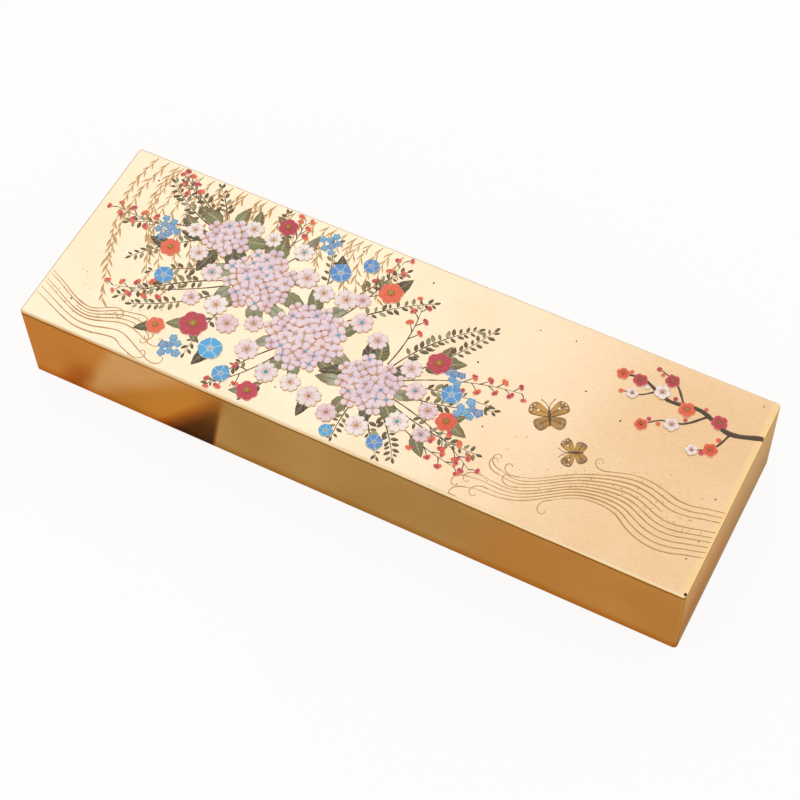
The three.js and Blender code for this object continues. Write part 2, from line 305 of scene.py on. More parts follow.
MATERIALS = {
    "gold": gold_leaf(),
    "black": black_lacquer(),
    "velvet": wine_velvet(),
    "lilac": raised_lacquer("pale_lilac_raised_lacquer", "#f3e2ee", "#e2cbe0", "#e3bfa4", "#cfa6cf"),
    "blush": raised_lacquer("blush_pink_raised_lacquer", "#f8e6ea", "#edd0dc", "#e0b597", "#dd9fb8"),
    "white": raised_lacquer("shell_white_raised_lacquer", "#fbf3f2", "#f1e2e6", "#dfba86", "#e9b3bb"),
    "coral": raised_lacquer("coral_raised_lacquer", "#f47248", "#e65537", "#fbb898", "#b92f22"),
    "crimson": raised_lacquer("crimson_raised_lacquer", "#d23e58", "#b92a42", "#f0a9a4", "#7d1228"),
    "sky": raised_lacquer("sky_blue_raised_lacquer", "#4aaeea", "#5a82d0", "#cfe2e6", "#eef4f2"),
    "turquoise": raised_lacquer("turquoise_raised_lacquer", "#35bccf", "#2ba3b4", "#229aab"),
    "stamen": raised_lacquer(
        "gold_powder_raised_lacquer", "#d3ab58", "#bd9040", "#a57c34", roughness=0.42, metallic=0.3
    ),
    "line": raised_lacquer(
        "fine_gold_line_lacquer", "#d3ab70", "#c0965a", "#c0965a", roughness=0.4, metallic=0.3
    ),
    "bark": raised_lacquer("dark_brown_raised_lacquer", "#6a5334", "#43321f", "#7c6338", roughness=0.4),
}
# Leaves and wings: how many ribs each has, and the colours of its body, shade, veins, edge and tinge
for key, name, ribs, *colours in [
    ("grey_leaf", "grey_green_leaf_lacquer", 7, "#b0b496", "#878d6c", "#636646", "#cdbd88", "#7d6642"),
    ("moss_leaf", "moss_green_leaf_lacquer", 7, "#80855c", "#5f6440", "#c0ac72", "#a8965e", "#6d5430"),
    ("dark_leaf", "olive_black_leaf_lacquer", 4, "#57553a", "#35311f", "#9c8b58", "#988658", "#3a2a1a"),
    ("wing", "gold_brown_wing_lacquer", 5, "#dca94f", "#b8853a", "#4a3520", "#3a2918", "#8a5c28"),
]:
    MATERIALS[key] = leaf_lacquer(name, ribs, *colours)


# Relief: each motif is a small template mesh, stamped onto the lid's top

# Places, sizes and heights are millimetres from the middle of the lid's top, and turns are radians
RIM_ROUNDING = 1.0  # of the lid's top edge
UPRIGHT_ROUNDING = 1.3  # of the lid's upright edges
FLAT = (HALF_LENGTH - 0.9, HALF_WIDTH - 0.9)  # half the flat of the top, which holds the design
OVER_RIM = 119.6  # a stroke that comes in over the right rim starts here
BURIED = 0.3  # how deep a motif's foot goes into the lid's skin
FOOT_DEPTH = 0.15  # what lies this far under a lifted motif belongs to its foot
FOOT_END = -0.2  # and reaches down to this height
FLUSH = 0.04  # a motif's edge starts this far under the surface
HIGHEST = 0.95  # how far a relief stands over the lid
LIFTED = 0.1  # height of a stroke's middle, before the stroke is flattened
MERGE = 0.02 * MM  # points closer than this are one


def toward(turn):
    """A step of one at an angle."""
    return Vector((cos(turn), sin(turn)))


def template(bm, name):
    mesh = bpy.data.meshes.new(name)
    bm.to_mesh(mesh)
    bm.free()
    return mesh


def foot(bm):
    """Closes an open relief sheet with a wall and a floor under it."""
    border = [e for e in bm.edges if e.is_boundary]
    walls = bmesh.ops.extrude_edge_only(bm, edges=border)["geom"]
    low = [v for v in walls if isinstance(v, bmesh.types.BMVert)]
    bmesh.ops.translate(bm, verts=low, vec=(0, 0, -BURIED * MM))
    bmesh.ops.holes_fill(bm, edges=[e for e in bm.edges if e.is_boundary], sides=0)
    bmesh.ops.recalc_face_normals(bm, faces=bm.faces)


def blade(name, size, outline, steps=(6, 4), crease=0.0, curl=0.0, edge=0.4, notch=0.0, full=0.4):
    """A petal or leaf along +X from the origin, with its length, width and rise.

    outline gives its half width, from 0 to 1, along its length. Its painted edge and its rounding take the
    shares edge and full of its half width. Its middle groove has the share crease of its rise. notch draws
    in its tip and curl bends it aside, both as shares of its length.
    """
    length, width, rise = (side * MM for side in size)
    bm = bmesh.new()
    bmesh.ops.create_grid(bm, x_segments=steps[0], y_segments=steps[1], size=0.5)
    layers = {n: bm.verts.layers.float.new(n) for n in ("along", "across", "rim", "heart", "tone")}
    for v in bm.verts:
        # u runs along from 0 to 1, closer together at both ends, and s runs across from -1 to 1
        u = (1 - cos(pi * (v.co.x + 0.5))) / 2
        s = v.co.y * 2
        half = outline(u) * width / 2
        inward = min((1 - abs(s)) * max(half, 1e-6), u * length * 0.9, (1 - u) * length * 0.9)
        depth = min(1.0, inward / (full * width / 2))
        dome = sqrt(max(0.0, 1 - (1 - depth) ** 2))
        groove = crease * exp(-((s / 0.22) ** 2)) * sin(pi * u)
        v[layers["along"]] = u
        v[layers["across"]] = s
        v[layers["rim"]] = 1 - min(1.0, inward / (edge * width / 2))
        v[layers["heart"]] = max(0.0, 1 - u / 0.6)
        drawn_in = notch * (abs(s) ** 3 + exp(-((s / 0.3) ** 2))) * u**3
        v.co = (u * length * (1 - drawn_in), s * half + curl * length * u * u, rise * (dome - groove))
    bmesh.ops.remove_doubles(bm, verts=bm.verts, dist=MERGE)
    foot(bm)
    return template(bm, name)


def bead(name, radius, rise, segments=8):
    """A low round bead."""
    bm = bmesh.new()
    bmesh.ops.create_uvsphere(bm, u_segments=segments, v_segments=6, radius=MM)
    bmesh.ops.scale(bm, vec=(radius, radius, rise), verts=bm.verts)
    rim = bm.verts.layers.float.new("rim")
    for v in bm.verts:
        v[rim] = min(1.0, v.co.xy.length / (radius * MM)) ** 2
    return template(bm, name)


SMALL_BEAD = bead("bead_small", 0.42, 0.3)
CENTRE_BEAD = bead("bead_centre", 0.72, 0.5, 10)
BERRY = bead("bead_berry", 1.1, 0.6, 9)


def stamp(bm, mesh, place, turn=0.0, size=1.0, lift=0.0, tone=None, slot=None):
    """Adds a template at a place, turned and sized, its foot in the lid, inside the flat of its top."""
    before = len(bm.verts)
    faces_before = len(bm.faces)
    if not bm.verts.layers.float.get("tone"):
        bm.verts.layers.float.new("tone")
    bm.from_mesh(mesh)
    bm.verts.ensure_lookup_table()
    bm.faces.ensure_lookup_table()
    fresh = bm.verts[before:]
    move = Matrix.Translation((place[0] * MM, place[1] * MM, lift * MM))
    grow = Matrix.Diagonal((size, size, 1, 1))
    bmesh.ops.transform(bm, matrix=move @ Matrix.Rotation(turn, 4, "Z") @ grow, verts=fresh)
    for v in fresh:
        if v.co.z < (lift - FOOT_DEPTH) * MM:
            v.co.z = FOOT_END * MM
    for axis in (0, 1):
        outside = max(abs(v.co[axis]) for v in fresh) - FLAT[axis] * MM
        if outside > 0:
            back = [0, 0, 0]
            back[axis] = -copysign(outside, place[axis])
            bmesh.ops.translate(bm, verts=fresh, vec=back)
    if tone is not None:
        layer = bm.verts.layers.float["tone"]
        for v in fresh:
            v[layer] = tone
    if slot is not None:
        for face in bm.faces[faces_before:]:
            face.material_index = slot


def repaint(bm, first, old, new):
    """Gives the faces from the first one on another material slot in place of the old one."""
    bm.faces.ensure_lookup_table()
    for face in bm.faces[first:]:
        if face.material_index == old:
            face.material_index = new


def piece_from(bm, name, materials, body):
    """Makes a piece of a bmesh, with its materials, riding on a body."""
    mesh = template(bm, name)
    for key in materials:
        mesh.materials.append(MATERIALS[key])
    mesh.shade_smooth()
    piece = new_object(name, mesh)
    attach(piece, body)
    return piece


def relief_piece(bm, name, materials):
    """Sets a finished relief on the lid's top."""
    top = max(v.co.z for v in bm.verts)
    bmesh.ops.scale(bm, vec=(1, 1, min(1, HIGHEST * MM / top)), verts=bm.verts)
    bmesh.ops.translate(bm, verts=bm.verts, vec=(0, 0, LID_TOP - FLUSH * MM))
    piece_from(bm, name, materials, "lid")


# Outlines: the half width of a petal, leaf or wing along its length

def round_petal(u):
    return sin(pi * u**1.35) ** 0.6


def broad_petal(u):
    return sin(pi * u**1.2) ** 0.45


def notched_petal(u):
    return 0.16 + 0.84 * sin(pi * min(1.0, 0.08 + 0.66 * u**1.3)) ** 0.9


def slim_leaf(u):
    return sin(pi * u) ** 1.1


def oval_leaf(u):
    return sin(pi * u**0.9) ** 0.7


def serrated_leaf(u):
    teeth = 1 + 0.12 * (1 - (u * 10) % 1)
    return sin(pi * u**0.7) ** 0.85 * teeth / 1.12


def fore_wing(u):
    return (0.2 + 0.8 * u**0.7) * (1 - u**8) ** 0.6


def hind_wing(u):
    return (0.3 + 0.7 * u**0.5) * (1 - u**6) ** 0.5


def smooth_path(points, steps=8):
    """Points on a smooth curve through given ones."""
    knots = [Vector(p) for p in points]
    knots = [2 * knots[0] - knots[1], *knots, 2 * knots[-1] - knots[-2]]
    path = []
    for a, b, c, d in zip(knots, knots[1:], knots[2:], knots[3:]):
        for i in range(steps):
            t = i / steps
            bend = (2 * a - 5 * b + 4 * c - d) * t * t + (3 * b - a - 3 * c + d) * t**3
            path.append(0.5 * (2 * b + (c - a) * t + bend))
    path.append(knots[-2])
    return path


def point_on(path, share, off=0.0):
    """The point at a share of a path's steps, off to its left, and the path's direction there."""
    place = share * (len(path) - 1)
    i = min(int(place), len(path) - 2)
    step = path[i + 1] - path[i]
    turn = atan2(step.y, step.x)
    return path[i] + step * (place - i) + toward(turn + pi / 2) * off, turn


STEM_STEPS = 8


def stem_from(head, heading, length, bend):
    """A stem from inside a head that bends evenly, with angles in degrees, and stops short of the rim."""
    x, y, radius, _ = HEADS[head]
    points = [Vector((x, y)) + toward(radians(heading)) * radius * 0.8]
    for i in range(STEM_STEPS):
        turn = radians(heading + bend * (i + 0.5) / STEM_STEPS)
        ahead = points[-1] + toward(turn) * (length + radius * 0.2) / STEM_STEPS
        if abs(ahead.y) > FLAT[1] - 1.2:
            break
        points.append(ahead)
    return points


def stroke(points, width, taper=(1.0, 0.8, 0.35)):
    """A painted line, with the shares of its width at its start, middle and end."""
    return points, width, taper


def strokes(name, drawn, material, rise=0.5):
    """Makes raised lines, round above, that follow the rounding of the right rim."""
    data = bpy.data.curves.new(name, "CURVE")
    data.dimensions = "3D"
    data.bevel_depth = MM / 2
    data.bevel_resolution = 1
    data.use_fill_caps = True
    for points, width, (first, middle, last) in drawn:
        path = smooth_path(points)
        spline = data.splines.new("POLY")
        spline.points.add(len(path) - 1)
        for i, (point, at) in enumerate(zip(spline.points, path)):
            share = 2 * i / (len(path) - 1)
            if share < 1:
                swell = first + (middle - first) * share
            else:
                swell = middle + (last - middle) * (share - 1)
            x = max(-FLAT[0], min(OVER_RIM, at.x))
            y = max(-FLAT[1], min(FLAT[1], at.y))
            past = max(0, x - (HALF_LENGTH - RIM_ROUNDING))
            down = RIM_ROUNDING - sqrt(RIM_ROUNDING**2 - past**2)
            point.co = (x * MM, y * MM, (LIFTED - down / rise) * MM, 1)
            drawn_by_hand = 1 + 0.35 * noise.noise(Vector((at.x, at.y, 0)) / 3)
            point.radius = width * swell * drawn_by_hand
    curve = new_object(name, data)
    bpy.context.view_layer.update()
    mesh = bpy.data.meshes.new_from_object(evaluated(curve))
    bpy.data.objects.remove(curve)
    bm = bmesh.new()
    bm.from_mesh(mesh)
    bmesh.ops.scale(bm, vec=(1, 1, rise), verts=bm.verts)
    relief_piece(bm, name, [material])


def flower(name, petals, spread, petal, centre, tuft=SMALL_BEAD, slots=(0, 1), proud=0.16, inner=None):
    """Petals round a centre of beads that stand proud, and an inner ring of petals if one is given.

    Each centre entry is a radius, a count and a size; inner is a mesh, a count, a size and a lift.
    """
    bm = bmesh.new()
    for i in range(petals):
        turn = i * tau / petals
        stamp(bm, petal, toward(turn) * spread, turn, lift=0.05 * (i % 2), slot=slots[0])
    if inner:
        mesh, count, size, lift = inner
        for i in range(count):
            stamp(bm, mesh, (0, 0), (i + 0.5) * tau / count, size, lift, slot=slots[0])
    for radius, count, size in centre:
        for i in range(count):
            stamp(bm, tuft, toward(i * tau / count) * radius, 0, size, proud, slot=slots[1])
    return template(bm, name)


# The design: a crescent of flowers with willow behind it, a plum branch, a stream and two butterflies

# Heads of hydrangea: middle, radius and number of florets
HEADS = [(-54, 7, 13.5, 32), (-29, -6, 14.5, 38), (-2, -13, 12, 25), (-73, 18, 9, 13)]

# Cherry blossoms: place and size
CHERRY = [
    (-40, 15, 1.0), (-32, 12, 0.9), (-24, 13, 1.0), (-15, 7, 0.95), (-7, 3, 0.85), (-46, 24, 0.85),
    (-62, -8, 1.0), (-55, -13, 0.95), (-47, -9, 0.8), (-44, -19, 1.0), (-34, -24, 0.95), (-25, -24, 0.85),
    (-17, -26, 1.0), (-9, -29, 0.85), (2, -29, 0.95), (8, -2, 0.9), (13, -9, 0.85), (13, -22, 0.95),
    (20, -14, 0.8), (-70, 3, 0.9), (-78, 8, 0.8), (-84, 16, 0.75), (-66, 25, 0.85), (-58, 24, 0.75),
    (-19, 15, 0.7), (22, -23, 0.7), (-71, -9, 0.75),
]

# Camellias: place, turn in degrees, size and whether it is coral
CAMELLIAS = [
    (-65, -18, 10, 1.0, 0), (-36, -33, 60, 0.75, 0), (15, 4, 100, 0.85, 0), (-12, 22, 30, 0.85, 1),
    (-88, 6, 0, 0.72, 1), (27, -15, 80, 0.72, 1), (-56, 31, 40, 0.7, 0), (-76, -24, 15, 0.65, 1),
]

# Morning glories: place and size
GLORIES = [
    (-55, -24, 0.9), (-47, -31, 0.66), (-31, 22, 0.8), (-23, 29, 0.6), (24, -5, 0.75), (-84, -5, 0.72),
    (-6, -35, 0.5), (10, -32, 0.6),
]

# Clusters of forget-me-nots: place, number and spread
CLUSTERS = [(-93, 13, 8, 4.5), (31, -8, 7, 4), (-40, 31, 7, 4), (-67, -29, 7, 4), (22, 2, 5, 3)]

# Leaves of the single blooms: place, turn in degrees and size
BLOOM_LEAVES = [
    (-65, -18, 200, 0.75), (-65, -18, 300, 0.6), (15, 4, 20, 0.75), (15, 4, 80, 0.65),
    (-12, 22, 60, 0.75), (-12, 22, 150, 0.6), (-88, 6, 170, 0.7), (27, -15, 340, 0.7),
    (27, -15, 40, 0.55), (-56, 31, 150, 0.5), (-76, -24, 210, 0.6), (-36, -33, 200, 0.5),
    (-31, 22, 110, 0.6), (-55, -24, 250, 0.7), (20, -24, 310, 0.7), (8, -28, 290, 0.5),
    (-17, -27, 265, 0.6), (-84, 16, 140, 0.65), (-66, 26, 100, 0.6), (-46, 25, 75, 0.6),
]

# Sprigs of small oval leaves: head, heading, length, bend, number of leaves and their size
SPRIGS = [
    (3, 185, 26, 25, 19, 0.9), (3, 165, 22, -25, 17, 0.85), (3, 212, 24, 20, 17, 0.85),
    (3, 140, 20, 25, 15, 0.8), (3, 118, 13, 20, 11, 0.75), (0, 205, 34, 22, 25, 0.9),
    (0, 228, 30, -25, 23, 0.9), (0, 190, 24, 28, 17, 0.85), (0, 92, 17, 25, 13, 0.8),
    (0, 66, 18, -25, 13, 0.8), (0, 250, 24, 22, 17, 0.85), (1, 230, 26, 22, 19, 0.85),
    (1, 262, 19, -22, 13, 0.8), (1, 74, 28, -25, 21, 0.9), (1, 98, 25, 20, 17, 0.85),
    (1, 52, 30, -22, 21, 0.85), (2, 68, 30, -30, 23, 0.9), (2, 44, 34, 22, 25, 0.95),
    (2, 22, 28, -22, 21, 0.9), (2, 4, 30, 20, 21, 0.9), (2, 340, 32, 22, 23, 0.9),
    (2, 318, 24, -22, 17, 0.85), (2, 296, 16, 20, 11, 0.75), (2, 262, 16, 22, 11, 0.75),
]

# Sprays of red berries: head, heading, length, bend and number of side twigs
BERRY_SPRAYS = [
    (3, 196, 32, -22, 8), (3, 152, 26, -20, 7), (0, 216, 36, -20, 9), (0, 80, 22, 25, 6),
    (1, 62, 30, 22, 7), (2, 32, 38, -25, 9), (2, 350, 34, -22, 8), (2, 328, 30, 25, 7),
    (1, 244, 22, -22, 6), (2, 78, 24, 25, 6),
]

# The plum's limbs: points, width and taper
LIMBS = [
    stroke([(OVER_RIM, 23.9), (109, 21), (98, 25), (87, 24), (77, 28), (70, 27)], 2.0, (1.0, 0.75, 0.35)),
    stroke([(101, 24), (95, 18), (88, 16), (82, 11)], 0.95, (1.0, 0.7, 0.4)),
    stroke([(92, 25), (87, 31), (80, 34)], 0.85, (1.0, 0.7, 0.4)),
    stroke([(110, 21.5), (107, 14), (101, 10)], 0.95, (1.0, 0.7, 0.4)),
    stroke([(83, 26), (78, 22), (72, 21)], 0.75, (1.0, 0.7, 0.4)),
]

# Plum blossoms: limb, share along it, offset to its left, size and colour: 0 white, 2 coral, 3 crimson
PLUMS = [
    (0, 0.28, -1, 1.0, 3), (0, 0.48, 1.5, 1.05, 2), (0, 0.66, -1, 1.0, 0), (0, 0.82, 1, 0.9, 3),
    (0, 1.0, 0, 0.8, 2), (1, 0.5, 1, 0.95, 0), (1, 0.95, 0, 0.8, 2), (2, 0.6, 0.5, 0.9, 3),
    (3, 0.6, 0.5, 0.9, 2), (3, 1.0, 0, 0.75, 0), (4, 0.7, 0, 0.75, 0),
]

# Plum buds: limb, share along it, offset to its left and colour
PLUM_BUDS = [
    (0, 0.38, -1.4, 2), (0, 0.56, -1.5, 3), (0, 0.74, 1.6, 0), (0, 0.92, -1.3, 2), (1, 0.3, -1.2, 3),
    (1, 0.72, 1.3, 2), (1, 0.82, -1.2, 3), (2, 0.85, 1.1, 2), (2, 1.0, 0.3, 3), (3, 0.3, -1.2, 2),
    (3, 0.8, 1.2, 3), (4, 1.0, 0.3, 2),
]

# Middle line of the stream, from the right end to the left one
STREAM = [
    (119.2, -15), (104, -18), (90, -14), (75, -17), (58, -27), (42, -27), (24, -34), (2, -37), (-22, -37),
    (-46, -37), (-66, -33), (-84, -27), (-100, -31), (-118.6, -24),
]
STREAM_EDGE = 37.4  # how far from the lid's middle line the stream and its flakes may come
STREAM_STEPS = 4  # from one point of the stream to the next
STREAM_OPEN = 40  # a run that ends before this step ends in the open, and any other one begins there

# The stream's lines: offset from its middle, and the steps between which each runs
STREAM_RUNS = [
    (-9, 0, 14), (-9, 42, 52), (-7, 0, 20), (-5, 0, 18), (-5, 41, 52), (-3, 0, 20), (-1.2, 0, 19),
    (-1.2, 42, 52), (0.8, 0, 16), (0.8, 43, 52), (2.8, 5, 18), (2.8, 43, 49), (4.8, 0, 18),
    (4.8, 44, 52), (6.8, 0, 16), (6.8, 46, 52), (8.8, 0, 10),
]

# Willow: its fronds hang from the far edge, every few millimetres from the left
FRONDS = 27
FIRST_FROND = -111.5
FROND_SPACING = 3.7
FAR_EDGE = 37.6

# Butterflies: place, heading in degrees and size
BUTTERFLIES = [(56, 1, 118, 0.95), (69, -7, 205, 0.74)]

# Spots on a wing: distance from its root, slant from its middle and size
FORE_SPOTS = [(6.6, 0.2, 1.0), (6.9, 0.02, 0.9), (6.4, -0.17, 0.8), (4.2, 0.05, 1.3)]
HIND_SPOTS = [(4.3, 0.25, 0.75), (4.5, 0.0, 0.75), (4.3, -0.25, 0.75)]


BLOSSOM_REACH = 4.4  # radius of a cherry blossom or morning glory of size one
CAMELLIA_REACH = 5.4


def covered(at):
    """Whether a bloom lies over a place."""
    blooms = [(x, y, radius) for x, y, radius, _ in HEADS]
    blooms += [(x, y, size * BLOSSOM_REACH) for x, y, size in CHERRY + GLORIES]
    blooms += [(x, y, size * CAMELLIA_REACH) for x, y, _, size, _ in CAMELLIAS]
    blooms += [(x, y, spread + 1) for x, y, _, spread in CLUSTERS]
    return any((at - Vector((x, y))).length < reach for x, y, reach in blooms)


def hydrangeas():
    """Round heads of four-petalled florets, packed in a spiral over a low mound, some with a blue heart."""
    pick = random.Random(11)
    petal = blade("floret_petal", (2.8, 2.75, 0.38), round_petal, (6, 6), crease=0.3, full=0.9)
    heart = {"centre": [(0, 1, 1.35)], "proud": 0.14}
    kinds = [flower(f"floret_{k}", 4, 0.15, petal, slots=(0, k), **heart) for k in (2, 3)]
    bm = bmesh.new()
    for x, y, radius, count in HEADS:
        for i in range(count):
            reach = (radius - 2.0) * sqrt((i + 0.3) / count)
            at = Vector((x, y)) + toward(i * GOLDEN_TURN + x) * reach
            mound = 0.25 + 0.4 * (1 - (reach / radius) ** 2)
            first = len(bm.faces)
            kind = kinds[1 if pick.random() < 0.25 else 0]
            turn = pick.uniform(0, pi / 2)
            stamp(bm, kind, at, turn, pick.uniform(0.86, 1.04), lift=mound, tone=pick.random() * 0.9)
            if pick.random() < 0.3:
                repaint(bm, first, 0, 1)
    relief_piece(bm, "hydrangea_florets", ["lilac", "blush", "stamen", "turquoise"])


def cherry_blossoms():
    """Single blossoms of five notched petals, with a bead and a ring of stamens."""
    pick = random.Random(14)
    petal = blade(
        "cherry_petal", (4.1, 4.0, 0.4), notched_petal, (8, 8), crease=0.25, edge=0.3, notch=0.16, full=0.7
    )
    heart = {"centre": [(0, 1, 1.0)], "tuft": CENTRE_BEAD, "proud": 0.2}
    kinds = [flower(f"cherry_{k}", 5, 0.25, petal, slots=(0, k), **heart) for k in (2, 3)]
    stamens = 7
    ring = 1.45
    bm = bmesh.new()
    for x, y, size in CHERRY:
        first = len(bm.faces)
        turn = pick.uniform(0, 6)
        kind = kinds[1 if pick.random() < 0.3 else 0]
        stamp(bm, kind, (x, y), turn, size, lift=pick.uniform(0.15, 0.3), tone=pick.random() * 0.9)
        if pick.random() < 0.4:
            repaint(bm, first, 0, 1)
        for i in range(stamens):
            at = Vector((x, y)) + toward(turn + 0.4 + i * tau / stamens) * ring * size
            stamp(bm, SMALL_BEAD, at, size=0.5, lift=0.5, tone=0.5, slot=2)
    relief_piece(bm, "cherry_blossoms", ["white", "blush", "stamen", "turquoise"])


def camellias():
    """Broad overlapping petals round a tuft of gold stamens."""
    pick = random.Random(3)
    petal = blade(
        "camellia_petal", (4.9, 4.9, 0.38), broad_petal, (8, 8), crease=0.12, notch=0.05, full=0.8
    )
    centre = [(0, 1, 0.9), (0.75, 7, 0.55), (1.25, 11, 0.42)]
    inner = (petal, 5, 0.66, 0.22)
    kind = flower("camellia", 6, 0.3, petal, centre, CENTRE_BEAD, proud=0.6, inner=inner)
    bm = bmesh.new()
    for x, y, turn, size, coral in CAMELLIAS:
        first = len(bm.faces)
        stamp(bm, kind, (x, y), radians(turn), size, lift=0.3, tone=pick.random() * 0.6)
        if coral:
            repaint(bm, first, 0, 2)
    relief_piece(bm, "camellia_blooms", ["crimson", "stamen", "coral"])


def trumpet(name, radius):
    """A morning glory seen from the front: a shallow trumpet with a pale star and a waved edge."""
    bm = bmesh.new()
    # Shares of the radius, and heights
    profile = [
        (0, 0.02), (0.14, 0.05), (0.3, 0.18), (0.5, 0.32), (0.72, 0.42), (0.9, 0.42), (0.98, 0.3), (1.0, 0),
    ]
    points = [bm.verts.new((share * radius, 0, z * MM)) for share, z in profile]
    edges = [bm.edges.new(pair) for pair in zip(points, points[1:])]
    bmesh.ops.spin(
        bm, geom=points + edges, cent=(0, 0, 0), axis=(0, 0, 1), angle=tau, steps=40, use_merge=True
    )
    bmesh.ops.remove_doubles(bm, verts=bm.verts, dist=MERGE)
    layers = {n: bm.verts.layers.float.new(n) for n in ("rim", "heart", "tone")}
    for v in bm.verts:
        reach = v.co.xy.length / radius
        turn = atan2(v.co.y, v.co.x)
        ray = max(0.0, 1.25 - abs(sin(turn * 2.5)) * (1.6 + 3 * reach))
        v[layers["rim"]] = max(min(1.0, ray), 0.8 if reach > 0.97 else 0)
        v[layers["heart"]] = max(0.0, 1 - reach * 2.2)
        v.co.xy *= 1 + (0.07 * abs(cos(turn * 2.5)) + 0.02 * sin(turn * 15)) * reach
    foot(bm)
    return template(bm, name)


def morning_glories():
    pick = random.Random(8)
    kind = trumpet("trumpet", BLOSSOM_REACH * MM)
    bm = bmesh.new()
    for x, y, size in GLORIES:
        stamp(bm, kind, (x, y), pick.random() * 3, size, lift=0.2, tone=pick.random() * 0.8, slot=0)
        stamp(bm, SMALL_BEAD, (x, y), lift=0.25, tone=0.5, slot=1)
    relief_piece(bm, "morning_glories", ["sky", "stamen"])


def forget_me_nots():
    """Small clusters of blue five-petalled flowers."""
    pick = random.Random(6)
    petal = blade("small_petal", (1.55, 1.5, 0.24), round_petal, (5, 4))
    kind = flower("forget_me_not", 5, 0.1, petal, [(0, 1, 0.45)], CENTRE_BEAD, proud=0.1)
    bm = bmesh.new()
    for x, y, count, spread in CLUSTERS:
        for i in range(count):
            reach = spread * sqrt((i + 0.4) / count)
            at = Vector((x, y)) + toward(i * GOLDEN_TURN + y) * reach
            turn = pick.random() * 3
            stamp(bm, kind, at, turn, pick.uniform(0.8, 1.1), lift=0.1, tone=pick.random() * 0.9)
    relief_piece(bm, "forget_me_nots", ["sky", "stamen"])


def leaves():
    """Leaves that come out from under each head and bloom."""
    pick = random.Random(5)
    leaf = blade("broad_leaf", (12.5, 7.4, 0.28), serrated_leaf, (20, 6), crease=0.3, curl=0.05, edge=0.25)
    bm = bmesh.new()
    for x, y, radius, _ in HEADS:
        count = int(radius * 0.75)
        for i in range(count):
            turn = i * tau / count + x + pick.uniform(-0.2, 0.2)
            at = Vector((x, y)) + toward(turn) * radius * 0.72
            slant = turn + pick.uniform(-0.5, 0.5)
            size = pick.uniform(0.62, 0.9)
            lift = 0.02 * i % 0.1
            stamp(bm, leaf, at, slant, size, lift, tone=pick.random() * 0.9, slot=pick.randrange(3))
    for x, y, turn, size in BLOOM_LEAVES:
        tone = pick.random() * 0.9
        stamp(bm, leaf, (x, y), radians(turn), size, tone=tone, slot=pick.choice((0, 1, 1, 2)))
    relief_piece(bm, "broad_leaves", ["grey_leaf", "moss_leaf", "dark_leaf"])


def sprigs():
    """Stems with oval leaflets on both sides, left out where a bloom covers them."""
    pick = random.Random(17)
    leaflet = blade("oval_leaflet", (3.3, 1.75, 0.26), oval_leaf, crease=0.2, curl=0.04)
    bm = bmesh.new()
    stems = []
    for head, heading, length, bend, count, size in SPRIGS:
        points = stem_from(head, heading, length, bend)
        stems.append(stroke(points, 0.5))
        path = smooth_path(points, 3)
        for i in range(count):
            side = 1 if i % 2 else -1
            at, turn = point_on(path, 0.2 + 0.78 * i / (count - 1), 0.35 * side)
            slant = turn + side * radians(pick.uniform(35, 75))
            scale = size * pick.uniform(0.7, 1.15) * (1.1 - 0.35 * i / count)
            if not covered(at):
                tone = pick.random() * 0.9
                slot = pick.choice((0, 0, 0, 1, 2))
                stamp(bm, leaflet, at, slant, scale, lift=0.03 * (i % 4), tone=tone, slot=slot)
        at, turn = point_on(path, 1.0)
        stamp(bm, leaflet, at, turn, size * 0.8, tone=pick.random() * 0.7, slot=0)
    strokes("sprig_stems", stems, "bark")
    relief_piece(bm, "sprig_leaves", ["dark_leaf", "grey_leaf", "moss_leaf"])


def berries():
    """Sprays of red berries on thin twigs."""
    pick = random.Random(4)
    bm = bmesh.new()
    twigs = []
    for head, heading, length, bend, count in BERRY_SPRAYS:
        points = stem_from(head, heading, length, bend)
        twigs.append(stroke(points, 0.46))
        path = smooth_path(points, 3)
        for i in range(count):
            at, turn = point_on(path, 0.45 + 0.55 * i / (count - 1))
            slant = turn + (1 if i % 2 else -1) * radians(pick.uniform(25, 55))
            tip = at + toward(slant) * 3.4 * (1.15 - 0.6 * i / count)
            twigs.append(stroke([at, (at + tip) / 2 + Vector((0.1, 0.1)), tip], 0.38, (1, 0.9, 0.8)))
            for k in range(3 if i < count - 2 else 2):
                there = tip + toward(slant + (k - 1) * 0.9) * 0.85
                slot = 0 if pick.random() < 0.45 else 1
                if not covered(there):
                    size = pick.uniform(0.6, 0.85)
                    stamp(bm, BERRY, there, size=size, lift=0.05, tone=pick.random() * 0.9, slot=slot)
    strokes("berry_twigs", twigs, "bark")
    relief_piece(bm, "berries", ["crimson", "coral"])


def plum_branch():
    """A plum branch from the far right corner, in bloom."""
    strokes("plum_branch", LIMBS, "bark", rise=0.55)


def plum_blossoms():
    pick = random.Random(21)
    petal = blade("plum_petal", (2.5, 2.75, 0.36), broad_petal, (6, 6), edge=0.35, full=0.8)
    kind = flower("plum_blossom", 5, 0.3, petal, [(0, 1, 0.6), (1.0, 8, 0.45)], proud=0.28)
    bud = bead("plum_bud", 0.95, 0.5, 10)
    bm = bmesh.new()
    paths = [smooth_path(points) for points, _, _ in LIMBS]
    for limb, share, off, size, colour in PLUMS:
        at, _ = point_on(paths[limb], share, off)
        first = len(bm.faces)
        stamp(bm, kind, at, pick.random() * 6, size, lift=0.3, tone=pick.random() * 0.7)
        repaint(bm, first, 0, colour)
    for limb, share, off, colour in PLUM_BUDS:
        at, turn = point_on(paths[limb], share, off)
        stamp(bm, bud, at, turn, pick.uniform(0.8, 1.1), lift=0.05, tone=pick.random() * 0.7, slot=colour)
    relief_piece(bm, "plum_blossoms", ["white", "stamen", "coral", "crimson"])


